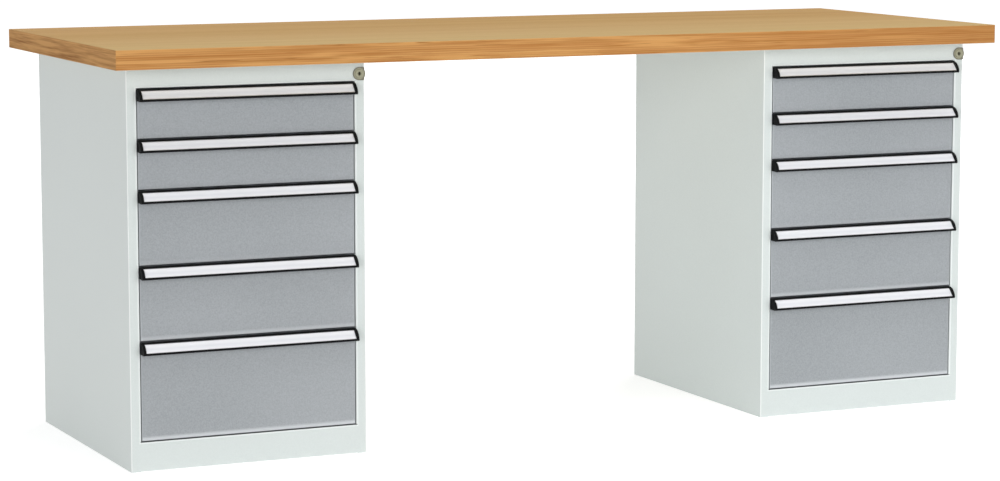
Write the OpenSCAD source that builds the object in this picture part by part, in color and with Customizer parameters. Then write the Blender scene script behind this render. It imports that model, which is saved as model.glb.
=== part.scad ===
// Workbench with drawers: a multiplex worktop on two steel pedestal cabinets, five drawers in each.
// Each cabinet is drawn in its own frame: x from its left side, y from its front, z from the floor.

/* [Worktop] */
// Length of the worktop, from end to end
top_w = 2000; // [1500:10:2600]
// Depth of the worktop, from front to back
top_d = 750; // [700:5:900]
// Thickness of the multiplex board
top_t = 40; // [30:1:60]
// Radius of the eased edges of the board
top_edge_r = 2; // [0.5:0.5:6]
// How far the board stands past the cabinets at each end
end_overhang = 40; // [5:1:120]
// How far the board stands past the fronts of the cabinets
front_overhang = 65; // [30:1:70]

/* [Cabinet] */
// Outside width of a cabinet
cabinet_w = 500; // [400:5:600]
// Depth of a cabinet, without its handles
cabinet_d = 600; // [560:1:620]
// Thickness of the steel sheet of the cabinet
sheet_t = 1.2; // [1:0.1:1.5]
// Inside radius of every bend in a sheet
bend_r = 0.8; // [0.5:0.1:1.2]
// Height of the plinth under the bottom drawer
plinth_h = 60; // [40:1:100]
// Height of the rail over the top drawer
rail_h = 40; // [36:1:60]
// Width of the front face of each corner post
post_w = 21; // [20:0.5:24]
// Depth of each front corner post
post_d = 26; // [24:0.5:30]
// Width of the post's rear flange, which the locking bar slides on
post_flange = 14; // [12:0.5:16]
// Width of the side panel's flange at the back
back_flange = 15; // [10:1:20]
// Depth of the folded edges of the back panel
back_fold = 12; // [8:1:20]
// Gap between the back panel and the side walls
back_gap = 0.3; // [0.1:0.05:0.6]
// Width of the feet folded inwards under the base
foot_fold = 20; // [10:1:40]
// Width of the rails' upper flange, which the worktop is screwed to
rail_top_fold = 45; // [35:1:60]
// Width of the rails' lower flange
rail_low_fold = 22; // [12:1:24]
// Width of the rear uprights that carry the runners
upright_d = 40; // [20:1:60]
// Distance of the rear uprights from the back ends of the runners
upright_in = 37; // [0:1:60]

/* [Drawers] */
// Height of the space for each of the two top drawers
low_slot_h = 100; // [95:1:120]
// Height of the space for each of the two middle drawers
mid_slot_h = 150; // [120:1:200]
// Height of the space for the bottom drawer
deep_slot_h = 200; // [150:1:300]
// Gap between a drawer front and the posts at its sides
front_side_gap = 2; // [1:0.1:2.5]
// Gap between one drawer front and the next
front_gap = 2; // [1:0.1:4]
// How far the drawer fronts lie behind the cabinet's front
front_recess = 1; // [0:0.1:3]
// Thickness of the sheet of the drawer fronts
front_t = 1.2; // [1:0.1:1.5]
// Depth of a drawer front, with its folded edges
front_d = 14; // [12:0.5:15]
// Width of the flanges folded inwards behind a drawer front, which the box is fixed to
front_return = 18; // [16:1:24]
// Thickness of the sheet of the drawer boxes
box_t = 1; // [0.8:0.1:1.2]
// Length of a drawer box and of its runners
box_l = 500; // [440:5:520]
// Height of a box's underside over the bottom of its space
box_lift = 7; // [5:0.5:10]
// Space over a box's upper edge
box_headroom = 24; // [20:0.5:26]
// Width of the folded upper edges of a box
box_rim = 10; // [6:1:16]

/* [Runners] */
// Height of the cabinet member of a runner
runner_h = 45; // [40:0.5:46]
// Width of a runner, from the drawer box to the post
runner_w = 12.7; // [12:0.1:14]
// Thickness of the runner steel
runner_t = 1.2; // [1:0.1:1.5]
// Height of a runner's middle over the box's underside
runner_lift = 24; // [23:0.5:26]
// Half the height of the mouth between the cabinet member's lips
runner_mouth = 13.8; // [12:0.1:15]
// Running gap between the two members
runner_gap = 0.3; // [0.2:0.05:0.5]
// Gap between the drawer member and the web of the cabinet member
member_gap = 1.3; // [0.8:0.1:2]
// Gap between the front of a runner and the drawer front
runner_set_back = 2; // [1:0.5:4]

/* [Handles] */
// Height of the handle strip
handle_h = 24; // [22:0.5:30]
// Radius of the rounded outline of the handle strip
handle_r = 25; // [24:0.5:28]
// How far the centre of that round lies behind the drawer front
handle_r_back = 2.5; // [1:0.5:3]
// Wall of the aluminium profile
handle_t = 1.8; // [1.2:0.1:2.5]
// Projection of the bright face at its upper edge
face_top_out = 6.5; // [5:0.5:10]
// Projection of the bright face at its lower edge
face_low_out = 20.8; // [18:0.1:21.2]
// Height of the black lip under the bright face
lip_h = 5; // [4:0.5:7]
// Depth of that lip, from its back to the lower edge of the face
lip_d = 3.4; // [3:0.1:4.5]
// Thickness of the profile's tongue, which the lip is pushed on to
tongue_t = 1; // [0.6:0.1:1.4]
// Length of that tongue
tongue_h = 3; // [2:0.1:3]
// Depth of the label channel in the face
channel_t = 0.5; // [0.3:0.1:0.8]
// Width of the ribs that border the label channel
channel_rib = 1.6; // [1:0.1:3]
// Thickness of the black cover strip over the profile
cover_t = 1.2; // [1:0.1:2]
// How far the cover strip reaches past the upper edge of the face
cover_over = 0.6; // [0.3:0.1:1.5]
// Thickness of each end cap
cap_t = 5.8; // [3:0.1:8]
// How far the end caps stand past the drawer front's sides
cap_proud = 1; // [0.2:0.1:1.5]
// How much the caps' lower edge rises towards the drawer front
cap_rise = 1; // [0.5:0.5:4]
// Radius of the caps' lower corner
cap_corner_r = 3; // [1:0.1:3.5]
// Distance of the handle strip below the drawer front's upper edge
handle_drop = 0.5; // [0:0.1:2]

/* [Lock] */
// Distance of the lock's centre from the cabinet's right side
lock_in = 11.5; // [11:0.1:12]
// Distance of the lock's centre below the cabinet's top
lock_down = 25.5; // [18:0.5:26]
// Height of the lock's rosette, which is round on the left and square on the right
rosette_dia = 26.5; // [22:0.5:28]
// Thickness of the rosette
rosette_t = 1.6; // [1:0.1:3]
// Radius of the rosette's right-hand corners
rosette_corner_r = 3; // [1:0.1:4]
// Margin between the rosette and the cabinet's side
rosette_margin = 0.3; // [0.2:0.1:2]
// Diameter of the raised middle of the rosette
boss_dia = 18.5; // [16:0.5:20]
// Height of that raised middle
boss_t = 1; // [0.5:0.1:1.5]
// Bevel round the raised middle
boss_bevel = 0.8; // [0.4:0.1:1.4]
// Diameter of the lock's body
lock_body_dia = 14; // [12:0.2:14.4]
// Length of the lock's body behind the cabinet's front
lock_body_l = 21.5; // [18:0.5:22]
// Clearance round the lock's body in the post
lock_hole_gap = 0.2; // [0.1:0.05:0.3]
// How far the plug's face lies behind the raised middle's
plug_recess = 0.5; // [0.2:0.1:1.5]
// Diameter of the turning plug
plug_dia = 9.6; // [8:0.1:10]
// Radial clearance of the plug in the lock's body
plug_gap = 0.05; // [0.03:0.01:0.1]
// How much larger the lock's nut is across its flats than the body
nut_wall = 1; // [0.6:0.1:1]
// Thickness of the lock's nut
nut_t = 4; // [2:0.5:6]
// Width of the key slot
key_w = 2.6; // [1:0.1:3]
// Height of the key slot
key_h = 7.4; // [5:0.1:7.6]
// Depth of the key slot
key_d = 12; // [6:1:15]
// Diameter of the disc behind the lock's body
crank_dia = 13; // [11:0.1:14]
// Thickness of that disc
crank_t = 2; // [1.5:0.1:2.4]
// Diameter of the pin that moves the locking bar
crank_pin_dia = 3.5; // [3:0.1:4]
// Distance of the pin from the plug's axis
crank_throw = 4.5; // [4:0.1:4.6]
// Gap between the pin and its slot in the locking bar
crank_pin_gap = 0.35; // [0.25:0.05:0.5]
// How far the pin stands past the locking bar
crank_pin_over = 0.5; // [0.2:0.1:1]
// Thickness of the locking bar
bar_t = 2.5; // [2:0.1:3]
// Width of the locking bar
bar_w = 14; // [12:0.5:14.5]
// Distance of the locking bar from the cabinet's right side
bar_in = 4; // [3.6:0.1:4.4]
// Distance of the bar's head from the inside of the side wall
bar_head_in = 1; // [0.4:0.1:1.2]
// Height of the bar's head, round its slot for the crank pin
bar_head_h = 16; // [10:0.5:18]
// Gap between the locking bar and what it slides on
bar_gap = 0.3; // [0.2:0.05:0.5]
// Height of the bar's teeth and of the drawers' catches
tooth_h = 8; // [6:0.5:9]
// Gap between a catch and the tooth over it, with the drawers free
tooth_gap = 1; // [0.5:0.1:2]
// Distance of a catch above its runner
catch_over = 5; // [3:0.5:6]
// Thickness of the drawers' catches
catch_t = 2.5; // [2:0.1:3]
// Distance of a catch behind the locking bar
catch_gap = 1.2; // [0.6:0.1:2]
// Length of the catch's leg along the drawer box
catch_leg = 18; // [12:1:30]
// Gap between a catch and the post that it passes
catch_side_gap = 1.5; // [1:0.1:2]
// Diameter of the studs that guide the bar
stud_dia = 5; // [4:0.1:6]
// Diameter of the studs' heads
stud_head_dia = 9; // [8:0.1:10]
// Thickness of the studs' heads
stud_head_t = 1.5; // [1:0.1:2.5]
// Distance of each stud from the edge of the drawer space next to it
stud_off = 12; // [10:1:20]

/* [Screws] */
// Diameter of the screws into the worktop
screw_dia = 6; // [5:0.5:8]
// Depth of the screws in the worktop
screw_in = 25; // [20:1:28]
// Depth of the holes past the screws' ends
screw_end_gap = 0.5; // [0.2:0.1:1.5]
// Distance of the screws from the cabinet's sides
screw_side = 60; // [40:1:100]
// Size of the screw heads across the flats
screw_head = 10; // [10:0.5:13]
// Height of the screw heads
screw_head_h = 4; // [3:0.5:6]
// Clearance of the screws in the rails
screw_gap = 0.5; // [0.3:0.1:1]

/* [Hidden] */
$fn = 48;
node = "all";
SIDES = ["left", "right"];
CABINET_PIECES = [
    "side_panels", "uprights", "back_panel", "base", "top_rails", "runners",
    "lock_body", "lock_plug", "lock_bar"
];
DRAWER_PIECES = ["box", "front", "handle", "handle_trim"];
// Heights of the drawers' spaces, from the top one down
slot_h = [low_slot_h, low_slot_h, mid_slot_h, mid_slot_h, deep_slot_h];
DRAWERS = [0 : len(slot_h) - 1];
NODES = concat(
    ["worktop", "top_screws"],
    [for (side = SIDES) for (piece = CABINET_PIECES) str(side, "_", piece)],
    [
        for (side = SIDES) for (i = DRAWERS) for (piece = DRAWER_PIECES)
            str(side, "_drawer_", i + 1, "_", piece)
    ]
);

function sum_to(list, end, i = 0) = i >= end ? 0 : list[i] + sum_to(list, end, i + 1);
function wanted(name) = node == "all" || node == name;

cabinet_h = plinth_h + sum_to(slot_h, len(slot_h)) + rail_h;
// Hairline between pieces that are joined on the same body, which keeps them separate solids
seam = 0.05;
eps = 0.01;
// How far a cut runs past the faces that it opens
over = 1;

// Where each cabinet's frame stands, and where each drawer's space begins in it
cabinet_x = [-top_w / 2 + end_overhang, top_w / 2 - end_overhang - cabinet_w];
cabinet_y = -top_d / 2 + front_overhang;
function slot_z(i) = cabinet_h - rail_h - sum_to(slot_h, i + 1);

inner_x = post_w;
inner_w = cabinet_w - 2 * post_w;
// Outside radius of a bend in the cabinet's sheet, where the rails and the plinth are let into the posts
corner_r = bend_r + sheet_t;
rail_x = inner_x - corner_r;
rail_w = inner_w + 2 * corner_r;
back_y = cabinet_d - sheet_t;
frame_back_y = back_y - sheet_t;

front_w = inner_w - 2 * front_side_gap;
front_x = inner_x + front_side_gap;
box_x = inner_x + runner_w;
box_w = inner_w - 2 * runner_w;
box_y = front_recess + front_d;
runner_y = box_y + runner_set_back;
upright_y = runner_y + box_l - upright_in - upright_d;
runner_z = box_lift + runner_lift;

lock_x = cabinet_w - lock_in;
lock_z = cabinet_h - lock_down;
crank_y = lock_body_l + bar_gap;
bar_y = post_d + bar_gap;
bar_x = cabinet_w - bar_in - bar_w;
bar_travel = 2 * crank_throw * sin(45);
catch_y = bar_y + bar_t + catch_gap;
catch_z = runner_z + runner_h / 2 + catch_over;
catch_out = runner_w - catch_side_gap;
tooth_x = cabinet_w - box_x + seam + catch_t + bar_gap;
stud_x = (bar_x + cabinet_w - post_w + post_flange) / 2;
stud_z = [plinth_h + deep_slot_h + stud_off, cabinet_h - rail_h - low_slot_h - stud_off];
pin_x = lock_x + crank_throw * cos(45);
pin_z = lock_z + crank_throw * sin(45);

face_top_z = handle_top_z(face_top_out);
face_low_z = lip_h - handle_h;
face_len = norm([face_low_out - face_top_out, face_top_z - face_low_z]);
face_lean = atan2(face_low_out - face_top_out, face_top_z - face_low_z);
tongue_out = face_low_out - (handle_t / cos(face_lean) + tongue_t) / 2;

// Height of the profile's upper wall at a distance out from the drawer front, measured from the strip's top
function handle_top_z(out) = sqrt(pow(handle_r - cover_t, 2) - pow(out + handle_r_back, 2)) - handle_r;

// Section of a folded strip of sheet. Each leg is [length along the drawn line, turn after it], and the
// sheet lies to the left of that line. A left turn of 90 has the bend's outside on the line, and a right
// turn of -90 its inside.
function setback(turn, t) = turn > 0 ? bend_r + t : turn < 0 ? bend_r : 0;

module folded(legs, t, i = 0) {
    turn = legs[i][1];
    flat = legs[i][0] - setback(turn, t) - (i == 0 ? 0 : setback(legs[i - 1][1], t));
    centre = turn > 0 ? bend_r + t : -bend_r;
    square([flat, t]);
    if (turn != 0)
        translate([flat, 0]) {
            translate([0, centre])
                intersection() {
                    difference() {
                        circle(bend_r + t);
                        circle(bend_r);
                    }
                    translate([0, turn > 0 ? -bend_r - t : 0])
                        square(bend_r + t);
                }
            translate([abs(centre), centre])
                rotate(turn)
                    folded(legs, t, i + 1);
        }
}

// Draws a section given in y and z, and runs it along x
module along_x(x, length) {
    translate([x, 0, 0])
        rotate([90, 0, 90])
            linear_extrude(length)
                children();
}

// Draws a section given in x and z, and runs it along y
module along_y(y, length) {
    translate([0, y + length, 0])
        rotate([90, 0, 0])
            linear_extrude(length)
                children();
}

// Draws a piece and its mirror image on the other side of the cabinet
module both_sides() {
    children();
    translate([cabinet_w, 0, 0])
        mirror([1, 0, 0])
            children();
}

module rounded_square(size, r) {
    difference() {
        square(size);
        for (x = [0, 1], y = [0, 1])
            translate([x * size[0], y * size[1]])
                mirror([x, 0])
                    mirror([0, y])
                        difference() {
                            translate([-over, -over])
                                square(r + over);
                            translate([r, r])
                                circle(r);
                        }
    }
}

// Section across a slot with round ends, standing upright
module upright_slot(dia, z_low, z_high) {
    translate([0, z_low])
        circle(d = dia);
    translate([0, z_high])
        circle(d = dia);
    translate([-dia / 2, z_low])
        square([dia, z_high - z_low]);
}

// Places what is drawn at each screw of one cabinet
module at_screws() {
    for (x = [screw_side, cabinet_w - screw_side], y = [rail_top_fold / 2, frame_back_y - rail_top_fold / 2])
        translate([x, y, cabinet_h])
            children();
}

// ---- Worktop

module worktop() {
    color("burlywood")
        difference() {
            intersection() {
                translate([-top_w / 2, -top_d / 2, cabinet_h])
                    linear_extrude(top_t)
                        rounded_square([top_w, top_d], top_edge_r);
                along_x(-top_w / 2, top_w)
                    translate([-top_d / 2, cabinet_h])
                        rounded_square([top_d, top_t], top_edge_r);
                along_y(-top_d / 2, top_d)
                    translate([-top_w / 2, cabinet_h])
                        rounded_square([top_w, top_t], top_edge_r);
            }
            for (x = cabinet_x)
                translate([x, cabinet_y, 0])
                    at_screws()
                        translate([0, 0, -over])
                            cylinder(d = screw_dia + 2 * seam, h = screw_in + screw_end_gap + over);
        }
}

module top_screws() {
    color("silver")
        at_screws() {
            translate([0, 0, -sheet_t])
                cylinder(d = screw_dia, h = screw_in + sheet_t);
            translate([0, 0, -sheet_t - screw_head_h])
                cylinder(d = screw_head / cos(30), h = screw_head_h, $fn = 6);
        }
}

// ---- Cabinet

// A side wall with its front post and back flange, folded from one sheet. The post is notched for the rail
// and the plinth.
module side_panel() {
    legs = [[post_flange, 90], [post_d, 90], [post_w, 90], [cabinet_d, 90], [back_flange, 0]];
    difference() {
        linear_extrude(cabinet_h)
            translate([cabinet_w - post_w + post_flange, post_d])
                rotate(180)
                    folded(legs, sheet_t);
        post_notch(-over, plinth_h + over);
        post_notch(cabinet_h - rail_h, rail_h + over);
    }
}

// Cuts a post's inner corner and flanges away, down to its front face
module post_notch(z, height) {
    translate([cabinet_w - post_w - over, -over, z])
        cube([corner_r + over, post_d + 2 * over, height]);
    translate([cabinet_w - post_w, sheet_t, z])
        cube([post_flange + over, post_d, height]);
}

// The right-hand side panel also takes the lock, and carries the studs that guide the locking bar
module lock_side_panel() {
    difference() {
        side_panel();
        translate([lock_x, -over, lock_z])
            rotate([-90, 0, 0])
                cylinder(d = lock_body_dia + 2 * lock_hole_gap, h = sheet_t + 2 * over);
    }
    for (z = stud_z)
        translate([stud_x, post_d - sheet_t / 2, z])
            rotate([-90, 0, 0]) {
                cylinder(d = stud_dia, h = sheet_t / 2 + bar_t + 2 * bar_gap + eps);
                translate([0, 0, sheet_t / 2 + bar_t + 2 * bar_gap])
                    cylinder(d = stud_head_dia, h = stud_head_t);
            }
}

module side_panels() {
    color("gainsboro") {
        lock_side_panel();
        translate([cabinet_w, 0, 0])
            mirror([1, 0, 0])
                side_panel();
    }
}

// Two folded channels inside the side walls, which carry the back ends of the runners
module uprights() {
    leg = post_w - sheet_t;
    color("gainsboro")
        both_sides()
            translate([cabinet_w - sheet_t, upright_y + upright_d, plinth_h])
                linear_extrude(cabinet_h - plinth_h - rail_h)
                    rotate(180)
                        folded([[leg, 90], [upright_d, 90], [leg, 0]], sheet_t);
}

module back_panel() {
    edge = sheet_t + back_gap;
    color("gainsboro")
        linear_extrude(cabinet_h)
            translate([cabinet_w - edge, back_y - back_fold])
                rotate(90)
                    folded([[back_fold, 90], [cabinet_w - 2 * edge, 90], [back_fold, 0]], sheet_t);
}

// The plinth, the floor of the cabinet and the feet, folded from one sheet
module base() {
    legs = [[foot_fold, 90], [plinth_h, 90], [frame_back_y, 90], [plinth_h, 90], [foot_fold, 0]];
    color("gainsboro")
        along_x(rail_x, rail_w)
            translate([frame_back_y - foot_fold, 0])
                folded(legs, sheet_t);
}

module top_rails() {
    color("gainsboro")
        difference() {
            union() {
                along_x(rail_x, rail_w)
                    translate([rail_top_fold, cabinet_h])
                        rotate(180)
                            folded([[rail_top_fold, 90], [rail_h, 90], [rail_low_fold, 0]], sheet_t);
                along_x(rail_x, rail_w)
                    translate([frame_back_y - rail_low_fold, cabinet_h - rail_h])
                        folded([[rail_low_fold, 90], [rail_h, 90], [rail_top_fold, 0]], sheet_t);
            }
            at_screws()
                translate([0, 0, -2 * sheet_t])
                    cylinder(d = screw_dia + 2 * screw_gap, h = 3 * sheet_t);
        }
}

// ---- Runners

// The cabinet member: a channel with lips, fixed to the post and the upright
module cabinet_member() {
    lip = runner_h / 2 - runner_mouth;
    depth = runner_w - runner_t;
    along_y(runner_y, box_l)
        translate([cabinet_w - inner_x - depth, runner_z - runner_mouth])
            rotate(-90)
                folded([[lip, 90], [depth, 90], [runner_h, 90], [depth, 90], [lip, 0]], runner_t);
}

// The drawer member: a hat section on the side of the box, with its flanges behind the other member's lips
module drawer_member() {
    foot_z = runner_h / 2 - runner_t - runner_gap;
    leg_z = runner_mouth - runner_gap - runner_t;
    depth = runner_w - 2 * runner_t - member_gap;
    foot = foot_z - leg_z;
    along_y(box_y, box_l)
        translate([cabinet_w - box_x + seam + runner_t + depth, runner_z - foot_z])
            rotate(90)
                folded([[foot, 90], [depth, -90], [2 * leg_z, -90], [depth, 90], [foot, 0]], runner_t);
}

module runners() {
    color("darkgray")
        both_sides()
            for (i = DRAWERS)
                translate([0, 0, slot_z(i)])
                    cabinet_member();
}

// ---- Lock

// Outline of the rosette, which is round on the left and runs square to the cabinet's side on the right
module rosette_outline() {
    circle(d = rosette_dia);
    translate([-rosette_corner_r, -rosette_dia / 2])
        rounded_square([rosette_corner_r + lock_in - rosette_margin, rosette_dia], rosette_corner_r);
}

module lock_body() {
    front = -rosette_t - boss_t;
    color("darkkhaki")
        translate([lock_x, 0, lock_z])
            rotate([-90, 0, 0]) {
                difference() {
                    union() {
                        translate([0, 0, front])
                            cylinder(d1 = boss_dia - 2 * boss_bevel, d2 = boss_dia, h = boss_t);
                        translate([0, 0, -rosette_t])
                            linear_extrude(rosette_t)
                                rosette_outline();
                        cylinder(d = lock_body_dia, h = lock_body_l);
                    }
                    translate([0, 0, front - over])
                        cylinder(d = plug_dia + 2 * plug_gap, h = lock_body_l - front + 2 * over);
                }
                // The nut that holds the body in the post
                translate([0, 0, sheet_t])
                    difference() {
                        rotate(30)
                            cylinder(d = (lock_body_dia + nut_wall) / cos(30), h = nut_t, $fn = 6);
                        translate([0, 0, -over])
                            cylinder(d = lock_body_dia + 2 * seam, h = nut_t + 2 * over);
                    }
            }
}

// The plug that the key turns, with the crank pin that moves the bar
module lock_plug() {
    front = plug_recess - rosette_t - boss_t;
    color("darkkhaki")
        translate([lock_x, 0, lock_z])
            rotate([-90, 0, 0])
                difference() {
                    union() {
                        translate([0, 0, front])
                            cylinder(d = plug_dia, h = crank_y - front + eps);
                        translate([0, 0, crank_y])
                            cylinder(d = crank_dia, h = crank_t);
                        translate([pin_x - lock_x, lock_z - pin_z, crank_y])
                            cylinder(d = crank_pin_dia, h = bar_y + bar_t + crank_pin_over - crank_y);
                    }
                    translate([-key_w / 2, -key_h / 2, front - over])
                        cube([key_w, key_h, key_d + over]);
                }
}

// A flat bar with a tooth over each drawer's catch, and a slot at its head for the crank pin
module lock_bar() {
    low = plinth_h + catch_z;
    head_low = pin_z - bar_head_h / 2;
    slot_low = crank_pin_dia / 2 + crank_pin_gap;
    slot_w = crank_throw * (1 - cos(45)) + 2 * slot_low;
    color("darkgray")
        along_y(bar_y, bar_t)
            difference() {
                union() {
                    translate([bar_x, low])
                        square([bar_w, head_low + bar_head_h - low]);
                    translate([bar_x, head_low])
                        square([cabinet_w - sheet_t - bar_head_in - bar_x, bar_head_h]);
                    for (i = DRAWERS)
                        translate([tooth_x, slot_z(i) + catch_z + tooth_h + tooth_gap])
                            square([bar_x + bar_w - tooth_x, tooth_h]);
                }
                for (z = stud_z)
                    translate([stud_x, 0])
                        upright_slot(stud_dia + 2 * bar_gap, z - bar_gap, z + bar_travel + bar_gap);
                translate([pin_x - slot_low, pin_z - slot_low])
                    square([slot_w, 2 * slot_low]);
            }
}

// ---- Drawers

// A box folded from one sheet, with its end walls, its runner members and the catch for the locking bar
module drawer_box(h) {
    box_h = h - box_lift - box_headroom;
    color("gainsboro") {
        along_y(box_y, box_l)
            translate([box_x + box_rim, box_lift + box_h])
                rotate(180)
                    folded([[box_rim, 90], [box_h, 90], [box_w, 90], [box_h, 90], [box_rim, 0]], box_t);
        for (y = [box_y, box_y + box_l - box_t])
            along_y(y, box_t)
                translate([box_x + box_t / 2, box_lift + box_t / 2])
                    square([box_w - box_t, box_h - box_t]);
    }
    color("darkgray") {
        both_sides()
            drawer_member();
        translate([0, 0, catch_z])
            linear_extrude(tooth_h)
                translate([cabinet_w - box_x + catch_out, catch_y])
                    rotate(180)
                        mirror([0, 1])
                            folded([[catch_out - seam, 90], [catch_leg, 0]], catch_t);
    }
}

// The block inside a drawer front's outline, with its front edges rounded
module front_block(w, d, h, r) {
    intersection() {
        linear_extrude(h)
            union() {
                translate([0, r])
                    square([w, d - r]);
                rounded_square([w, 2 * r + over], r);
            }
        along_x(0, w)
            union() {
                translate([r, 0])
                    square([d - r, h]);
                rounded_square([2 * r + over, h], r);
            }
    }
}

// A pan of sheet, with a flange folded inwards behind each side
module drawer_front(h) {
    front_h = h - front_gap;
    color("darkgray")
        translate([front_x, front_recess, front_gap / 2])
            difference() {
                front_block(front_w, front_d, front_h, bend_r + front_t);
                translate([front_t, front_t, front_t])
                    front_block(front_w - 2 * front_t, front_d - 2 * front_t, front_h - 2 * front_t, bend_r);
                translate([front_return, front_d / 2, front_t])
                    cube([front_w - 2 * front_return, front_d, front_h - 2 * front_t]);
            }
}

// Frame of the handle's sections: x runs out from the drawer front, y up from the strip's top
module handle_section(h, x, length) {
    translate([0, front_recess, h - front_gap / 2 - handle_drop])
        along_x(x, length)
            mirror([1, 0])
                children();
}

// Part of the round outline, between two radii and out to a given projection
module handle_round(r_in, r_out, out) {
    intersection() {
        translate([-handle_r_back, -handle_r])
            difference() {
                circle(r_out, $fn = 96);
                circle(r_in, $fn = 96);
            }
        translate([0, -handle_h / 2])
            square([out, handle_h]);
    }
}

// The aluminium profile: a rear wall, a rounded upper wall, and a leaning face with a label channel, which
// ends in a tongue for the black lip
module drawer_handle(h) {
    outer = handle_r - cover_t;
    color("whitesmoke")
        handle_section(h, front_x + cap_t - cap_proud, front_w - 2 * (cap_t - cap_proud)) {
            translate([0, -handle_h])
                square([handle_t, handle_h + handle_top_z(handle_t)]);
            handle_round(outer - handle_t, outer, face_top_out);
            intersection() {
                translate([0, face_low_z])
                    square(handle_r);
                translate([face_top_out, face_top_z])
                    rotate(face_lean - 90)
                        difference() {
                            translate([0, -handle_t])
                                square([face_len + 2 * handle_t, handle_t]);
                            translate([channel_rib, -channel_t])
                                square([face_len - 2 * channel_rib, channel_t + over]);
                        }
            }
            translate([tongue_out, face_low_z - tongue_h])
                square([tongue_t, tongue_h + eps]);
        }
}

// Outline of an end cap, with a rounded lower corner
module cap_outline() {
    corner_y = handle_r - handle_h + cap_corner_r;
    corner_x = sqrt(pow(handle_r - cap_corner_r, 2) - pow(corner_y, 2));
    reach = 2 * cap_corner_r;
    block = [
        [0, over],
        [0, cap_rise - handle_h],
        [face_low_out, -handle_h],
        [handle_r, -handle_h],
        [handle_r, over]
    ];
    difference() {
        intersection() {
            translate([-handle_r_back, -handle_r])
                circle(handle_r, $fn = 96);
            polygon(block);
        }
        translate([corner_x - handle_r_back, corner_y - handle_r])
            difference() {
                polygon([[0, 0], [0, -reach], [reach, -reach], [reach, reach * corner_y / corner_x]]);
                circle(cap_corner_r);
            }
    }
}

// Outline of the lip under the bright face, with the groove for the profile's tongue
module lip_outline() {
    difference() {
        intersection() {
            cap_outline();
            translate([face_low_out - lip_d, -handle_h])
                square([handle_r, lip_h - seam]);
        }
        translate([tongue_out - seam, face_low_z - tongue_h - seam])
            square([tongue_t + 2 * seam, lip_h]);
    }
}

// The black plastic pieces: the cover strip over the profile, the lip under its face, and the two end caps
module handle_trim(h) {
    color("black") {
        handle_section(h, front_x + cap_t - cap_proud + seam, front_w - 2 * (cap_t - cap_proud + seam)) {
            handle_round(handle_r - cover_t, handle_r, face_top_out + cover_over);
            lip_outline();
        }
        for (x = [front_x - cap_proud, front_x + front_w + cap_proud - cap_t])
            handle_section(h, x, cap_t)
                cap_outline();
    }
}

// ---- The whole bench

if (wanted("worktop")) worktop();
if (wanted("top_screws")) for (x = cabinet_x) translate([x, cabinet_y, 0]) top_screws();
for (s = [0, 1])
    translate([cabinet_x[s], cabinet_y, 0]) {
        if (wanted(str(SIDES[s], "_side_panels"))) side_panels();
        if (wanted(str(SIDES[s], "_uprights"))) uprights();
        if (wanted(str(SIDES[s], "_back_panel"))) back_panel();
        if (wanted(str(SIDES[s], "_base"))) base();
        if (wanted(str(SIDES[s], "_top_rails"))) top_rails();
        if (wanted(str(SIDES[s], "_runners"))) runners();
        if (wanted(str(SIDES[s], "_lock_body"))) lock_body();
        if (wanted(str(SIDES[s], "_lock_plug"))) lock_plug();
        if (wanted(str(SIDES[s], "_lock_bar"))) lock_bar();
        for (i = DRAWERS)
            translate([0, 0, slot_z(i)]) {
                if (wanted(str(SIDES[s], "_drawer_", i + 1, "_box"))) drawer_box(slot_h[i]);
                if (wanted(str(SIDES[s], "_drawer_", i + 1, "_front"))) drawer_front(slot_h[i]);
                if (wanted(str(SIDES[s], "_drawer_", i + 1, "_handle"))) drawer_handle(slot_h[i]);
                if (wanted(str(SIDES[s], "_drawer_", i + 1, "_handle_trim"))) handle_trim(slot_h[i]);
            }
    }
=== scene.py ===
import math

import bpy
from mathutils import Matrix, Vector


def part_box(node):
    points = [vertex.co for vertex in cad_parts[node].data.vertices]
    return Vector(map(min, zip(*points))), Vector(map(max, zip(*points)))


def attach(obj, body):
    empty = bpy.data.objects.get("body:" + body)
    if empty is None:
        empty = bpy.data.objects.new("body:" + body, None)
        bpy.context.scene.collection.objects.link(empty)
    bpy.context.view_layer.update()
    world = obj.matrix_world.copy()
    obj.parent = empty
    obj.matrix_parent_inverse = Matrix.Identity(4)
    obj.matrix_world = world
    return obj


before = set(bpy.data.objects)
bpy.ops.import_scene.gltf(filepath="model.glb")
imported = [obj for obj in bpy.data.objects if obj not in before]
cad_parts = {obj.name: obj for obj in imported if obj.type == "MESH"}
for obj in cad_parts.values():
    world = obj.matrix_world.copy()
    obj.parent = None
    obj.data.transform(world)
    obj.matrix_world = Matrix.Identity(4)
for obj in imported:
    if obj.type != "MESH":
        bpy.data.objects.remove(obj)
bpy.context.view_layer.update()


# ---- Cabinet shells
# Two pedestal cabinets, each folded and welded from 1.2 mm steel sheet: side walls with their posts, back,
# plinth, rails and the channels for the runners. They are powder coated in one light grey, satin and nearly
# smooth. The bends carry a thin painted highlight, and the broad faces stay even.

mm = 0.001
sides = ("left", "right")


def linear(code):
    """The colour that a shader takes for an sRGB hex colour such as "d8dcd9"."""
    parts = [int(code[i:i + 2], 16) / 255 for i in (0, 2, 4)]
    return [p / 12.92 if p <= 0.04045 else ((p + 0.055) / 1.055) ** 2.4 for p in parts] + [1.0]


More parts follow.
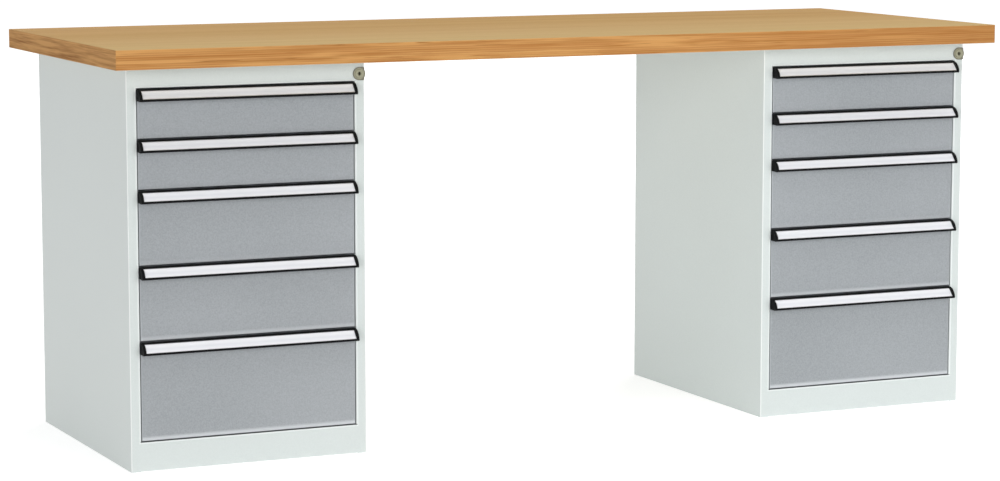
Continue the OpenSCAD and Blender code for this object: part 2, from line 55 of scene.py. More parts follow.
def add(tree, kind, inputs=None, **settings):
    """Adds a node to a tree. An input goes by its name, or by its number where names repeat. It takes a
    value, a hex colour, another node's output, or another node, which stands for its first output in use."""
    node = tree.nodes.new(kind)
    for name, value in settings.items():
        setattr(node, name, value)
    in_use = [socket for socket in node.inputs if socket.enabled]
    for name, value in (inputs or {}).items():
        socket = in_use[name] if isinstance(name, int) else next(s for s in in_use if s.name == name)
        if isinstance(value, bpy.types.Node):
            value = next(output for output in value.outputs if output.enabled)
        if isinstance(value, bpy.types.NodeSocket):
            tree.links.new(value, socket)
        else:
            socket.default_value = linear(value) if socket.type == "RGBA" else value
    return node


def new_material(name):
    """A material with an empty node tree, and that tree."""
    material = bpy.data.materials.new(name)
    material.use_nodes = True
    material.node_tree.nodes.clear()
    return material, material.node_tree


def dress(names, material):
    """Gives CAD nodes one material."""
    for name in names:
        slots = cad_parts[name].data.materials
        slots.clear()
        slots.append(material)


def powder_coat(name, colour, shade, bend_highlight, upper_bend_shade, grain, depth, roughness, trim_edges):
    """Powder coat: a film that flows out in the oven to a fine orange peel. It tints a little from place to
    place, and its grain, in metres, is drawn coarser than the real half millimetre so that it shows. Bends
    get painted tones: a painted highlight on upright and lower bends, and a tone for bends that look up,
    which is painted shade on the fronts. trim_edges adds painted light along an edge, and takes the tree,
    the place, the normal's parts and the film."""
    material, tree = new_material(name)
    place = add(tree, "ShaderNodeTexCoord").outputs["Object"]
    normal = add(tree, "ShaderNodeNewGeometry").outputs["Normal"]
    normal = add(tree, "ShaderNodeSeparateXYZ", {0: normal}).outputs

    # The tint follows the peel, with a slow drift over each sheet
    drift_size = 400 * mm
    peel_share, drift_share = 0.7, 0.3
    peel = add(tree, "ShaderNodeTexNoise", {
        "Vector": place, "Scale": 1 / grain, "Detail": 2.0, "Roughness": 0.6})
    drift = add(tree, "ShaderNodeTexNoise", {"Vector": place, "Scale": 1 / drift_size, "Detail": 1.0})
    amount = add(tree, "ShaderNodeMath", {0: peel, 1: peel_share}, operation="MULTIPLY")
    amount = add(tree, "ShaderNodeMath", {0: drift, 1: drift_share, 2: amount}, operation="MULTIPLY_ADD")
    tint = add(tree, "ShaderNodeMapRange", {"Value": amount, "From Min": 0.3, "From Max": 0.7})
    film = add(tree, "ShaderNodeMix", {"Factor": tint, "A": colour, "B": shade}, data_type="RGBA")

    # Flat faces have no slant. Upright and lower bends have one above 0, and bends that look up one below 0
    sideways = add(tree, "ShaderNodeMath", {0: normal["X"]}, operation="ABSOLUTE")
    away = add(tree, "ShaderNodeMath", {0: sideways, 1: normal["Z"]}, operation="SUBTRACT")
    forward = add(tree, "ShaderNodeMath", {0: normal["Y"]}, operation="ABSOLUTE")
    slant = add(tree, "ShaderNodeMath", {0: away, 1: forward}, operation="MULTIPLY")
    # Painted highlight on upright and lower bends, and a painted tone on bends that look up
    for start, end, tone in ((0.1, 0.4, bend_highlight), (-0.15, -0.3, upper_bend_shade)):
        bent = add(tree, "ShaderNodeMapRange", {"Value": slant, "From Min": start, "From Max": end})
        film = add(tree, "ShaderNodeMix", {"Factor": bent, "A": film, "B": tone}, data_type="RGBA")

    bump = add(tree, "ShaderNodeBump", {"Height": peel, "Strength": 0.25, "Distance": depth})
    film = trim_edges(tree, place, normal, film)
    paint = add(tree, "ShaderNodeBsdfPrincipled", {
        "Base Color": film, "Roughness": roughness, "IOR": 1.5, "Normal": bump})
    add(tree, "ShaderNodeOutputMaterial", {"Surface": paint})
    return material


def opening_highlight_and_shade(tree, place, normal, film):
    """Round the drawers' opening the folds of the posts and rails get a painted highlight, a light line,
    and a strip of painted shade lies on the cabinet's floor behind the plinth's fold, where the lowest
    drawer closes."""
    side_gap = 2 * mm                   # between a drawer front and the post beside it
    line_w = 3 * mm
    shade_d, shade_t = 22 * mm, 2 * mm    # the painted shade's depth, and its reach from the floor's level
    fade = 1 * mm                       # how far the painted shade runs out past its edges
    front_low, front_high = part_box("right_drawer_1_front")
    base_low, base_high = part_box("right_base")
    half_w = (front_high.x - front_low.x) / 2 + side_gap
    half_h = (front_high.z - base_high.z) / 2
    middle = ((front_low.x + front_high.x) / 2, 0.0, base_high.z + half_h)

    # How far a point lies outside the opening. The two openings lie alike on both sides of the bench's middle
    mirrored = add(tree, "ShaderNodeVectorMath", {0: place}, operation="ABSOLUTE")
    centred = add(tree, "ShaderNodeVectorMath", {0: mirrored, 1: middle}, operation="SUBTRACT")
    off_middle = add(tree, "ShaderNodeVectorMath", {0: centred}, operation="ABSOLUTE")
    past = add(tree, "ShaderNodeVectorMath", {0: off_middle, 1: (half_w, 0.0, half_h)}, operation="SUBTRACT")
    beyond = add(tree, "ShaderNodeSeparateXYZ", {0: past}).outputs
    outside = add(tree, "ShaderNodeMath", {0: beyond["X"], 1: beyond["Z"]}, operation="MAXIMUM")

    # The painted highlight line, where the surface looks forward
    off_line = add(tree, "ShaderNodeMath", {0: outside, 1: line_w / 2}, operation="SUBTRACT")
    off_line = add(tree, "ShaderNodeMath", {0: off_line}, operation="ABSOLUTE")
    on_line = add(tree, "ShaderNodeMapRange", {"Value": off_line, "From Min": line_w, "From Max": line_w / 2})
    facing = add(tree, "ShaderNodeMapRange", {"Value": normal["Y"], "From Min": -0.7, "From Max": -0.9})
    painted_line = add(tree, "ShaderNodeMath", {0: on_line, 1: facing}, operation="MULTIPLY")
    film = add(tree, "ShaderNodeMix", {"Factor": painted_line, "A": film, "B": "e8eeec"}, data_type="RGBA")

    # The painted shade, where the floor looks up
    at = add(tree, "ShaderNodeSeparateXYZ", {0: place}).outputs
    rise = add(tree, "ShaderNodeMath", {0: at["Z"], 1: base_high.z}, operation="SUBTRACT")
    rise = add(tree, "ShaderNodeMath", {0: rise}, operation="ABSOLUTE")
    shade_back = base_low.y + shade_d
    shaded = add(tree, "ShaderNodeMapRange", {"Value": rise, "From Min": shade_t + fade, "From Max": shade_t})
    for value, start, end in ((normal["Z"], 0.3, 0.6), (at["Y"], shade_back + fade, shade_back)):
        share = add(tree, "ShaderNodeMapRange", {"Value": value, "From Min": start, "From Max": end})
        shaded = add(tree, "ShaderNodeMath", {0: shaded, 1: share}, operation="MULTIPLY")
    return add(tree, "ShaderNodeMix", {"Factor": shaded, "A": film, "B": "494d4f"}, data_type="RGBA")


# The cabinet's bends get a thin painted highlight, and its upward bends keep the film's own tone
cabinet_paint = powder_coat(
    "powder_coated_steel_light_grey", colour="d9e0de", shade="d4dbd9", bend_highlight="f4f7f6", upper_bend_shade="d9e0de",
    grain=3 * mm, depth=0.05 * mm, roughness=0.42, trim_edges=opening_highlight_and_shade)
for side in sides:
    dress([f"{side}_{piece}" for piece in ("side_panels", "uprights", "back_panel", "base", "top_rails")],
          cabinet_paint)


# ---- Runners and locking bars
# The runners are roll-formed strip, and the locking bars are cut from flat bar. Both are bright zinc plated,
# which leaves a bluish satin metal with faint cloudy crystals. They show only when a drawer is open.

def zinc_plate(name):
    """Bright zinc plating over rolled steel: bluish grey, with clouds of crystals about 12 mm across."""
    material, tree = new_material(name)
    place = add(tree, "ShaderNodeTexCoord").outputs["Object"]
    cloud = add(tree, "ShaderNodeTexNoise", {"Vector": place, "Scale": 1 / (12 * mm), "Detail": 4.0})
    tone = add(tree, "ShaderNodeMix", {"Factor": cloud, "A": "c3c8cc", "B": "a9afb4"}, data_type="RGBA")
    rough = add(tree, "ShaderNodeMapRange", {"Value": cloud, "To Min": 0.26, "To Max": 0.44})
    metal = add(tree, "ShaderNodeBsdfPrincipled", {"Base Color": tone, "Metallic": 1.0, "Roughness": rough})
    add(tree, "ShaderNodeOutputMaterial", {"Surface": metal})
    return material


zinc = zinc_plate("bright_zinc_plated_steel")
for side in sides:
    dress([f"{side}_runners", f"{side}_lock_bar"], zinc)


# ---- Locks
# A cam lock in the right-hand post of each cabinet locks all its drawers. Its rosette and plug are turned
# brass with satin nickel plating, a warm dark grey, and the key slot in the plug looks black. Painted shade
# darkens the rosette's rim and the plug round the slot.

def nickel_plate(name, axis, slot_reach, rim_start, rim_end):
    """Satin nickel, finely turned about the lock's axis in rings 0.6 mm apart, with painted shade towards its
    rim and round its slot."""
    material, tree = new_material(name)
    place = add(tree, "ShaderNodeTexCoord").outputs["Object"]
    centred = add(tree, "ShaderNodeMapping", {"Vector": place, "Location": (-axis.x, 0.0, -axis.z)})
    flat = add(tree, "ShaderNodeVectorMath", {0: centred, 1: (1.0, 0.0, 1.0)}, operation="MULTIPLY")
    radius = add(tree, "ShaderNodeVectorMath", {0: flat}, operation="LENGTH")
    rings = add(tree, "ShaderNodeTexNoise", {"W": radius, "Scale": 1 / (0.6 * mm), "Detail": 2.0},
                noise_dimensions="1D")
    tone = add(tree, "ShaderNodeMix", {"Factor": rings, "A": "a9a892", "B": "8f8d78"}, data_type="RGBA")
    # Painted shade at the rosette's rim and round the key slot
    rim = (rim_start, rim_end, 0.8, "6a675d")
    slot_shade = (slot_reach, 0.6 * slot_reach, 0.75, "3d3b2c")
    for start, end, most, darker in (rim, slot_shade):
        share = add(tree, "ShaderNodeMapRange", {
            "Value": radius, "From Min": start, "From Max": end, "To Max": most})
        tone = add(tree, "ShaderNodeMix", {"Factor": share, "A": tone, "B": darker}, data_type="RGBA")
    metal = add(tree, "ShaderNodeBsdfPrincipled", {"Base Color": tone, "Metallic": 1.0, "Roughness": 0.42})
    add(tree, "ShaderNodeOutputMaterial", {"Surface": metal})
    return material


for side in sides:
    plug_low, plug_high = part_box(f"{side}_lock_plug")
    nickel = nickel_plate(f"satin_nickel_plated_brass_{side}", axis=(plug_low + plug_high) / 2,
                          slot_reach=4.5 * mm, rim_start=9.5 * mm, rim_end=13 * mm)
    dress([f"{side}_lock_body", f"{side}_lock_plug"], nickel)


# ---- Drawer boxes
# Each drawer is a tray folded from 1 mm sheet and coated like the cabinet. Its runner members and its catch
# for the locking bar are fixed to its sides.

drawers = [f"{side}_drawer_{row}" for side in sides for row in range(1, 6)]
dress([f"{drawer}_box" for drawer in drawers], cabinet_paint)


# ---- Drawer fronts
# Shallow pans of 1.2 mm sheet steel in a mid grey powder coat with a fine grain, darker and rougher than the
# cabinet's. Their folds carry a painted highlight, a little lighter than their faces, and the lower fronts
# carry a painted highlight along the lower edge, stronger the lower the front. Painted shade, near black,
# covers the upper fold, over the handle.

def front_paint(row, highlight_share):
    """The paint of the left and right fronts in one row, which share the height of their lower edge. The
    second argument says how strong the painted highlight along that edge is."""
    whole_h, gone_h = 5 * mm, 10 * mm       # painted highlight: whole up to one height, gone past the other
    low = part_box(f"left_drawer_{row}_front")[0].z

    def lower_edge_highlight(tree, place, normal, film):
        """A painted highlight along the lower edge of the face, where it looks forward."""
        height = add(tree, "ShaderNodeSeparateXYZ", {0: place}).outputs["Z"]
        near = add(tree, "ShaderNodeMapRange", {
            "Value": height, "From Min": low + gone_h, "From Max": low + whole_h, "To Max": highlight_share})
        facing = add(tree, "ShaderNodeMapRange", {"Value": normal["Y"], "From Min": -0.8, "From Max": -0.98})
        painted_edge = add(tree, "ShaderNodeMath", {0: near, 1: facing}, operation="MULTIPLY")
        return add(tree, "ShaderNodeMix", {"Factor": painted_edge, "A": film, "B": "c9cdd0"}, data_type="RGBA")

    # The fronts' bends get a slight painted highlight, and their upper fold near-black painted shade
    return powder_coat(
        f"fine_textured_powder_coat_mid_grey_{row}", colour="aaaeb2", shade="93989b", bend_highlight="b0b4b8",
        upper_bend_shade="141516", grain=2.5 * mm, depth=0.12 * mm, roughness=0.5, trim_edges=lower_edge_highlight)


highlight_by_row = {1: 0.0, 2: 0.0, 3: 0.2, 4: 0.6, 5: 0.95}     # painted highlight, stronger lower down
for row, highlight_share in highlight_by_row.items():
    dress([f"{side}_drawer_{row}_front" for side in sides], front_paint(row, highlight_share))


# ---- Handles
# A full-width strip of extruded aluminium on each front, satin anodised. A black plastic strip covers its
# rounded top, and moulded black caps close its ends.

def anodised(name):
    """Satin anodised aluminium: pale, with the faint lines of the extrusion along its length. The lines are
    drawn 125 mm long and 1.4 mm wide, coarser than the real ones so that they show."""
    material, tree = new_material(name)
    place = add(tree, "ShaderNodeTexCoord").outputs["Object"]
    waves = (8.0, 700.0, 700.0)     # to a metre along X, Y and Z
    drawn = add(tree, "ShaderNodeMapping", {"Vector": place, "Scale": waves})
    lines = add(tree, "ShaderNodeTexNoise", {"Vector": drawn, "Scale": 1.0, "Detail": 2.0})
    tone = add(tree, "ShaderNodeMix", {"Factor": lines, "A": "f2f2f4", "B": "e2e3e6"}, data_type="RGBA")
    rough = add(tree, "ShaderNodeMapRange", {"Value": lines, "To Min": 0.3, "To Max": 0.42})
    metal = add(tree, "ShaderNodeBsdfPrincipled", {"Base Color": tone, "Metallic": 1.0, "Roughness": rough})
    add(tree, "ShaderNodeOutputMaterial", {"Surface": metal})
    return material


def moulded_black(name):
    """Black ABS, moulded with a fine matt grain. It is drawn 1.2 mm wide, coarser than the real one."""
    material, tree = new_material(name)
    place = add(tree, "ShaderNodeTexCoord").outputs["Object"]
    grain = add(tree, "ShaderNodeTexNoise", {"Vector": place, "Scale": 1 / (1.2 * mm), "Detail": 2.0})
    tone = add(tree, "ShaderNodeMix", {"Factor": grain, "A": "040506", "B": "0b0c0d"}, data_type="RGBA")
    bump = add(tree, "ShaderNodeBump", {"Height": grain, "Strength": 0.3, "Distance": 0.05 * mm})
    plastic = add(tree, "ShaderNodeBsdfPrincipled", {
        "Base Color": tone, "Roughness": 0.6, "IOR": 1.53, "Specular IOR Level": 0.12, "Normal": bump})
    add(tree, "ShaderNodeOutputMaterial", {"Surface": plastic})
    return material


dress([f"{drawer}_handle" for drawer in drawers], anodised("satin_anodised_aluminium"))
dress([f"{drawer}_handle_trim" for drawer in drawers], moulded_black("moulded_black_abs"))


# ---- Label strips
# A blank strip of white card lies in the shallow channel of each handle's leaning face, between its two ribs.
# The card is calendered, nearly smooth and white.

def white_card(name):
    """Calendered card: white, a little cloudy where the fibres lie thicker, and with painted shade
    along its middle.
    """
    material, tree = new_material(name)
    place = add(tree, "ShaderNodeTexCoord").outputs["Object"]
    cloud = add(tree, "ShaderNodeTexNoise", {"Vector": place, "Scale": 1 / (9 * mm), "Detail": 3.0})
    tone = add(tree, "ShaderNodeMix", {"Factor": cloud, "A": "f7f7fa", "B": "f2f3f6"}, data_type="RGBA")
    shadiest = 0.4       # where across the strip the painted shade is deepest, and how far it reaches
    across = add(tree, "ShaderNodeAttribute", attribute_name="across").outputs["Fac"]
    off_middle = add(tree, "ShaderNodeMath", {0: across, 1: shadiest}, operation="SUBTRACT")
    distance = add(tree, "ShaderNodeMath", {0: off_middle}, operation="ABSOLUTE")
    middle = add(tree, "ShaderNodeMapRange", {
        "Value": distance, "From Min": shadiest, "From Max": 0.0, "To Max": 0.8})
    tone = add(tree, "ShaderNodeMix", {"Factor": middle, "A": tone, "B": "e3e5ea"}, data_type="RGBA")
    card = add(tree, "ShaderNodeBsdfPrincipled", {"Base Color": tone, "Roughness": 0.35, "IOR": 1.5})
    add(tree, "ShaderNodeOutputMaterial", {"Surface": card})
    return material


def strip_tree(material):
    """Nodes that cut a strip of card with rounded corners and lay it on a slope. Origin is the slope's lower
    edge at the strip's left end, and the slope goes up and back. Sink is the strip's height over the slope,
    below 0 in a channel. The attribute across runs from 0 at the strip's lower edge to 1 at its upper one."""
    tree = bpy.data.node_groups.new("label_strip", "GeometryNodeTree")
    sockets = {}
    for name in ("Length", "Width", "Thickness", "Corner", "Margin", "Sink", "Slope"):
        sockets[name] = tree.interface.new_socket(name=name, in_out="INPUT", socket_type="NodeSocketFloat")
    sockets["Origin"] = tree.interface.new_socket(
        name="Origin", in_out="INPUT", socket_type="NodeSocketVector")
    tree.interface.new_socket(name="Geometry", in_out="OUTPUT", socket_type="NodeSocketGeometry")
    given = add(tree, "NodeGroupInput").outputs

    # The card, cut and given its thickness, with its middle at the origin
    outline = add(tree, "GeometryNodeCurvePrimitiveQuadrilateral", {
        "Width": given["Length"], "Height": given["Width"]})
    corner_points = 6
    rounded = add(tree, "GeometryNodeFilletCurve", {
        "Curve": outline, "Radius": given["Corner"], "Count": corner_points}, mode="POLY")
    face = add(tree, "GeometryNodeFillCurve", {"Curve": rounded}, mode="NGONS")
    upper = add(tree, "GeometryNodeExtrudeMesh", {"Mesh": face, "Offset Scale": given["Thickness"]})
    lower = add(tree, "GeometryNodeFlipFaces", {"Mesh": face})
    both = add(tree, "GeometryNodeJoinGeometry")
    for skin in (upper, lower):
        tree.links.new(skin.outputs[0], both.inputs[0])
    weld = 0.01 * mm
    solid = add(tree, "GeometryNodeMergeByDistance", {"Geometry": both, "Distance": weld})

    # Where each point lies across the strip
    point = add(tree, "ShaderNodeSeparateXYZ", {0: add(tree, "GeometryNodeInputPosition")}).outputs["Y"]
    share = add(tree, "ShaderNodeMath", {0: point, 1: given["Width"]}, operation="DIVIDE")
    share = add(tree, "ShaderNodeMath", {0: share, 1: 0.5}, operation="ADD")
    card = add(tree, "GeometryNodeStoreNamedAttribute", {"Geometry": solid, "Name": "across", "Value": share},
               data_type="FLOAT", domain="POINT")

    # The strip goes past the rib and down into the channel, with its corner at the origin, and then it leans
    size = add(tree, "ShaderNodeCombineXYZ", {"X": given["Length"], "Y": given["Width"]})
    half = add(tree, "ShaderNodeVectorMath", {0: size, "Scale": 0.5}, operation="SCALE")
    inset = add(tree, "ShaderNodeCombineXYZ", {"Y": given["Margin"], "Z": given["Sink"]})
    middle = add(tree, "ShaderNodeVectorMath", {0: half, 1: inset}, operation="ADD")
    laid = add(tree, "GeometryNodeTransform", {"Geometry": card, "Translation": middle})
    turn = add(tree, "ShaderNodeCombineXYZ", {"X": given["Slope"]})
    leaned = add(tree, "GeometryNodeTransform", {
        "Geometry": laid, "Translation": given["Origin"], "Rotation": turn})
    real = add(tree, "GeometryNodeRealizeInstances", {"Geometry": leaned})
    done = add(tree, "GeometryNodeSetMaterial", {"Geometry": real, "Material": material})
    add(tree, "NodeGroupOutput", {"Geometry": done})
    return tree, {name: socket.identifier for name, socket in sockets.items()}


face_back, face_rise = 14.3 * mm, 16.03 * mm    # how far the handle's face leans back, and its height
face_edge = 5 * mm                              # height of the face's lower edge over the handle's underside
rib, channel = 1.6 * mm, 0.5 * mm               # the ribs beside the channel, and its depth
card_t, card_corner = 0.3 * mm, 1 * mm
card_gap, card_lift = 0.2 * mm, 0.02 * mm       # clearance round the card, and under it

strips, identifiers = strip_tree(white_card("calendered_white_card"))
for drawer in drawers:
    handle_low, handle_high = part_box(f"{drawer}_handle")
    base = bpy.data.objects.new(f"{drawer}_label_base", bpy.data.meshes.new(f"{drawer}_label_base"))
    bpy.context.scene.collection.objects.link(base)
    modifier = base.modifiers.new("strip", "NODES")
    modifier.node_group = strips
    values = {
        "Length": handle_high.x - handle_low.x - 2 * card_gap,
        "Width": math.hypot(face_back, face_rise) - 2 * rib - 2 * card_gap,
        "Thickness": card_t,
        "Corner": card_corner,
        "Margin": rib + card_gap,
        "Sink": card_lift - channel,
        "Slope": math.atan2(face_rise, face_back),
        "Origin": (handle_low.x + card_gap, handle_low.y, handle_low.z + face_edge)}
    for name, value in values.items():
        modifier[identifiers[name]] = value
    evaluated = base.evaluated_get(bpy.context.evaluated_depsgraph_get())
    strip = bpy.data.objects.new(f"{drawer}_label_strip", bpy.data.meshes.new_from_object(evaluated))
    bpy.data.objects.remove(base)
    bpy.context.scene.collection.objects.link(strip)
    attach(strip, drawer)


# ---- Worktop
# A board of beech multiplex, 40 mm thick, sanded and oiled to a matt finish. Its faces show long, even beech
# grain. Its edges show the plies: those that run along the edge are a clear orange and those cut across are
# darker, and the two ends take the oil deepest and look brown.

def beech_multiplex(name, low, high, ply_count):
    """Beech plies of one thickness between a board's lowest and highest corners. An edge shows each ply in
    its own tone, and the faces show sliced veneer with grain along X. A ply is drawn at about 2 mm, twice the
    real thickness, so that it shows."""
    material, tree = new_material(name)
    place = add(tree, "ShaderNodeTexCoord").outputs["Object"]
    at = add(tree, "ShaderNodeSeparateXYZ", {0: place}).outputs
    facing = add(tree, "ShaderNodeNewGeometry").outputs["Normal"]
    facing = add(tree, "ShaderNodeSeparateXYZ", {0: facing}).outputs
    sideways = add(tree, "ShaderNodeMath", {0: facing["X"]}, operation="ABSOLUTE")
    level = add(tree, "ShaderNodeMath", {0: facing["Z"]}, operation="ABSOLUTE")

    def fibres(waves, detail, roughness=0.5, distortion=0.0, vector=place):
        """The wood's fibres: noise drawn out along the grain, in waves to a metre along X, Y and Z."""
        drawn = add(tree, "ShaderNodeMapping", {"Vector": vector, "Scale": waves})
        return add(tree, "ShaderNodeTexNoise", {
            "Vector": drawn, "Scale": 1.0, "Detail": detail, "Roughness": roughness,
            "Distortion": distortion})

    def tones(first, layers):
        """The wood's colour after other tones are laid over a first one. Each layer gives its tone, the value
        that it follows, where that value starts to show it and where it shows most, and how much that is."""
        colour = first
        for tone, value, start, end, most in layers:
            share = add(tree, "ShaderNodeMapRange", {
                "Value": value, "From Min": start, "From Max": end, "To Max": most})
            colour = add(tree, "ShaderNodeMix", {"Factor": share, "A": colour, "B": tone}, data_type="RGBA")
        return colour

    # The face veneer: broad leaves of slightly different tone, 2.9 m by 420 mm, flame of 1250 by 38 mm, and
    # dark flecks of 17 by 2.4 mm. A painted highlight makes it paler towards the front. The underside is left
    # raw, paler and greyer
    leaves = fibres((0.35, 2.4, 2.4), 2.0)
    flame = fibres((0.8, 26.0, 26.0), 4.0, 0.6, 0.5)
    fleck = fibres((60.0, 420.0, 420.0), 1.0)
    underside = add(tree, "ShaderNodeMath", {0: facing["Z"], 1: 0.0}, operation="LESS_THAN")
    raw = tones("e2d8c8", [("cdbda4", fleck, 0.5, 0.78, 0.5)])
    face = tones("cba66b", [
        ("d6b07b", leaves, 0.35, 0.65, 1.0),
        ("c0935a", flame, 0.3, 0.7, 0.65),
        ("a57d4c", fleck, 0.6, 0.78, 0.4),
        ("d9bf88", at["Y"], 0.1, low.y, 0.6),
        (raw, underside, 0.0, 1.0, 1.0)])

    # Which ply a point of an edge belongs to, and whether that ply is cut across there. The plies sway by
    # half their thickness in waves of 770 mm, and on the board's two ends they change places
    wave = add(tree, "ShaderNodeMath", {0: fibres((1.3, 1.3, 0.0), 1.0), 1: 0.5}, operation="MULTIPLY")
    rise = add(tree, "ShaderNodeMapRange", {
        "Value": at["Z"], "From Min": low.z, "From Max": high.z, "To Max": float(ply_count)})
    ply = add(tree, "ShaderNodeMath", {0: rise, 1: wave}, operation="ADD")
    index = add(tree, "ShaderNodeMath", {0: ply}, operation="FLOOR")
    end_side = add(tree, "ShaderNodeMath", {0: sideways, 1: 0.7}, operation="GREATER_THAN")
    turned = add(tree, "ShaderNodeMath", {0: index, 1: 2.0}, operation="MODULO")
    turned = add(tree, "ShaderNodeMath", {0: turned, 1: end_side}, operation="SUBTRACT")
    cut_across = add(tree, "ShaderNodeMath", {0: turned}, operation="ABSOLUTE")

    # Streaks of 200 by 4 mm along each ply, and the dark line of glue between two. The streaks differ from
    # ply to ply, because each takes them from further along the board
    further = 3.7
    shift = add(tree, "ShaderNodeMath", {0: index, 1: further}, operation="MULTIPLY")
    shift = add(tree, "ShaderNodeCombineXYZ", {"X": shift})
    moved = add(tree, "ShaderNodeVectorMath", {0: place, 1: shift}, operation="ADD")
    streak = fibres((5.0, 5.0, 240.0), 4.0, 0.6, vector=moved.outputs[0])
    along = tones("d3a163", [("c38b51", streak, 0.3, 0.7, 1.0)])
    across = tones("c48951", [("af733f", streak, 0.3, 0.7, 1.0)])
    own = add(tree, "ShaderNodeTexWhiteNoise", {"W": index}, noise_dimensions="1D")
    glue = add(tree, "ShaderNodeMath", {0: ply}, operation="FRACT")
    glue = add(tree, "ShaderNodeMath", {0: glue, 1: 0.5}, operation="SUBTRACT")
    glue = add(tree, "ShaderNodeMath", {0: glue}, operation="ABSOLUTE")

    # Bands and checks run over several plies: dark bands of 330 by 8 mm, light ones of 220 by 11 mm, and fine
    # checks of 110 by 3 mm. The edge grows a little darker towards the board's right-hand end
    dark_bands = fibres((3.0, 3.0, 120.0), 3.0, 0.55)
    light_bands = fibres((4.5, 4.5, 95.0), 2.0)
    checks = fibres((9.0, 9.0, 330.0), 2.0)
    end_grain = tones("d3a269", [("8d5f36", fibres((3.0, 3.0, 90.0), 3.0, 0.65), 0.42, 0.66, 1.0)])
    edge = tones(along, [
        (across, cut_across, 0.0, 1.0, 1.0),
        ("ab6d36", dark_bands, 0.42, 0.62, 0.8),
        ("d7a061", light_bands, 0.48, 0.64, 0.8),
        ("d0a566", own, 0.0, 1.0, 0.25),
        ("a56d3c", glue, 0.4, 0.5, 0.35),
        ("a96f3a", at["X"], 0.2, high.x, 0.45),
        ("8a5527", checks, 0.66, 0.74, 0.7),
        (end_grain, end_side, 0.0, 1.0, 0.85)])

    # The face veneer where the surface looks up or down, the plies elsewhere
    bump = add(tree, "ShaderNodeBump", {"Height": fleck, "Strength": 0.2, "Distance": 0.1 * mm})
    wood = add(tree, "ShaderNodeBsdfPrincipled", {
        "Base Color": tones(edge, [(face, level, 0.55, 0.75, 1.0)]), "Roughness": 0.78, "IOR": 1.5,
        "Specular IOR Level": 0.1, "Normal": bump})
    add(tree, "ShaderNodeOutputMaterial", {"Surface": wood})
    return material


board_low, board_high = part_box("worktop")
dress(["worktop"], beech_multiplex("matt_oiled_beech_multiplex", board_low, board_high, ply_count=19))
dress(["top_screws"], zinc)


# ---- Studio
# White paper on a light table and a white surround, with four large soft lamps: at the left, in front, behind
# and overhead. A narrow spot reaches through the knee space.

def background_rays(tree):
    """1 for the rays that show the background, to the camera, in gloss and through glass, and 0 for those
    that only light the object."""
    rays = add(tree, "ShaderNodeLightPath").outputs
    shown = rays["Is Camera Ray"]
    for other in ("Is Glossy Ray", "Is Transmission Ray"):
        shown = add(tree, "ShaderNodeMath", {0: shown, 1: rays[other]}, operation="MAXIMUM")
    return shown


def studio_white(name):
    """White seamless paper on a light table: plain white to the camera, apart from the object's shadow. Its
    glow looks stronger far from the object, and near the object it also lights it a little from below."""
    near, seen_far, lit_far = 1.3, 4.0, 3.0     # metres from the middle of the floor
    material, tree = new_material(name)
    place = add(tree, "ShaderNodeTexCoord").outputs["Object"]
    away = add(tree, "ShaderNodeVectorMath", {0: place}, operation="LENGTH")
    seen = add(tree, "ShaderNodeMapRange", {
        "Value": away, "From Min": near, "From Max": seen_far, "To Min": 0.5, "To Max": 0.7})
    lit = add(tree, "ShaderNodeMapRange", {
        "Value": away, "From Min": near, "From Max": lit_far, "To Min": 0.2, "To Max": 0.0})
    glow = add(tree, "ShaderNodeMix", {"Factor": background_rays(tree), "A": lit, "B": seen})
    paper = add(tree, "ShaderNodeBsdfDiffuse", {"Color": "f0f0f0"})
    light = add(tree, "ShaderNodeEmission", {"Color": "ffffff", "Strength": glow})
    both = add(tree, "ShaderNodeAddShader", {0: paper, 1: light})
    add(tree, "ShaderNodeOutputMaterial", {"Surface": both})
    return material


reach = 30.0        # metres from the middle to each side of the floor
corners = [(-reach, -reach, 0), (reach, -reach, 0), (reach, reach, 0), (-reach, reach, 0)]
sheet = bpy.data.meshes.new("floor")
sheet.from_pydata(corners, [], [(0, 1, 2, 3)])
sheet.materials.append(studio_white("white_seamless_paper"))
floor = bpy.data.objects.new("floor", sheet)
bpy.context.scene.collection.objects.link(floor)

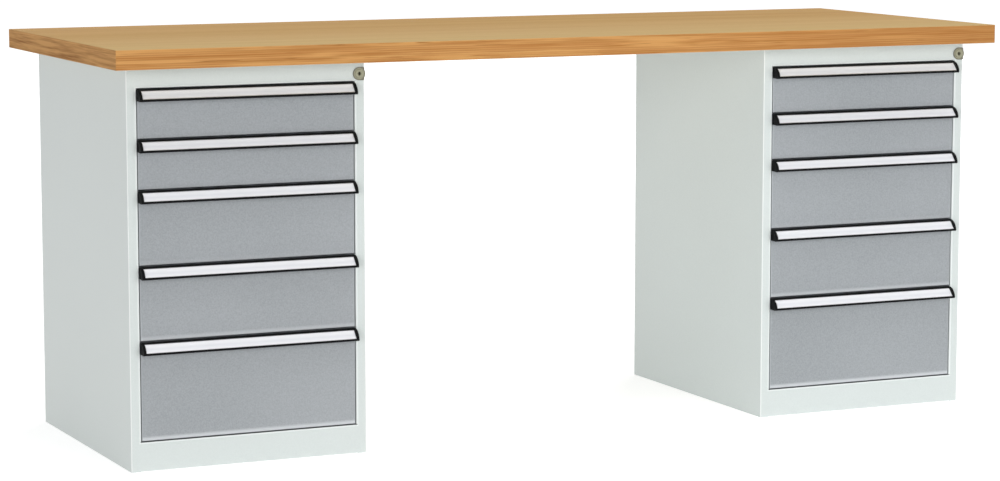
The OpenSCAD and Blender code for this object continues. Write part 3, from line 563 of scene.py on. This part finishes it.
world = bpy.data.worlds.new("studio")
world.use_nodes = True
sky = world.node_tree
sky.nodes.clear()
strength = add(sky, "ShaderNodeMapRange", {"Value": background_rays(sky), "To Min": 0.42, "To Max": 1.0})
surround = add(sky, "ShaderNodeBackground", {"Color": "ffffff", "Strength": strength})
add(sky, "ShaderNodeOutputWorld", {"Surface": surround})
bpy.context.scene.world = world


def lamp(name, kind, place, aim, power, **settings):
    """A lamp at a place, turned to a point, with its power in watts. Its own shape doesn't show in gloss."""
    data = bpy.data.lights.new(name, kind)
    data.energy = power
    for setting, value in settings.items():
        setattr(data, setting, value)
    light = bpy.data.objects.new(name, data)
    light.visible_glossy = False
    light.location = place
    light.rotation_euler = (Vector(aim) - Vector(place)).to_track_quat("-Z", "Y").to_euler()
    bpy.context.scene.collection.objects.link(light)


panel = {"shape": "RECTANGLE", "size": 5.0, "size_y": 3.4}      # metres
lamp("key_lamp", "AREA", (-7.4, -7.8, 1.7), (0.0, 0.0, 0.45), 235, **panel)
lamp("front_lamp", "AREA", (2.6, -9.0, 3.0), (0.0, 0.0, 0.5), 215, **panel)
lamp("back_lamp", "AREA", (7.4, 7.8, 3.6), (0.0, 0.0, 0.45), 400, **panel)
lamp("ceiling_lamp", "AREA", (0.0, -2.2, 7.8), (0.0, 0.0, 0.8), 150, **panel)

# The low spot lights the inner side of the right-hand cabinet, which the left-hand one shades. It is a little
# blue, against the warm light that the board throws down
lamp("knee_spot", "SPOT", (-3.2, -3.6, 0.7), (0.62, -0.15, 0.4), 115, color=(0.9, 0.97, 1.0),
     spot_size=math.radians(15), spot_blend=0.6, shadow_soft_size=0.2)

# The camera stands to the left of the middle, a little over the worktop's height, and looks slightly down
camera_data = bpy.data.cameras.new("camera")
camera_data.lens = 110.9
camera_data.sensor_width = 36.0
camera_data.clip_end = 100.0
camera = bpy.data.objects.new("camera", camera_data)
camera.location = (-2.788, -6.043, 1.236)
camera.rotation_euler = (math.radians(90 - 7.374), 0, math.radians(-24.626))
bpy.context.scene.collection.objects.link(camera)
bpy.context.scene.camera = camera
bpy.context.scene.view_settings.view_transform = "Standard"
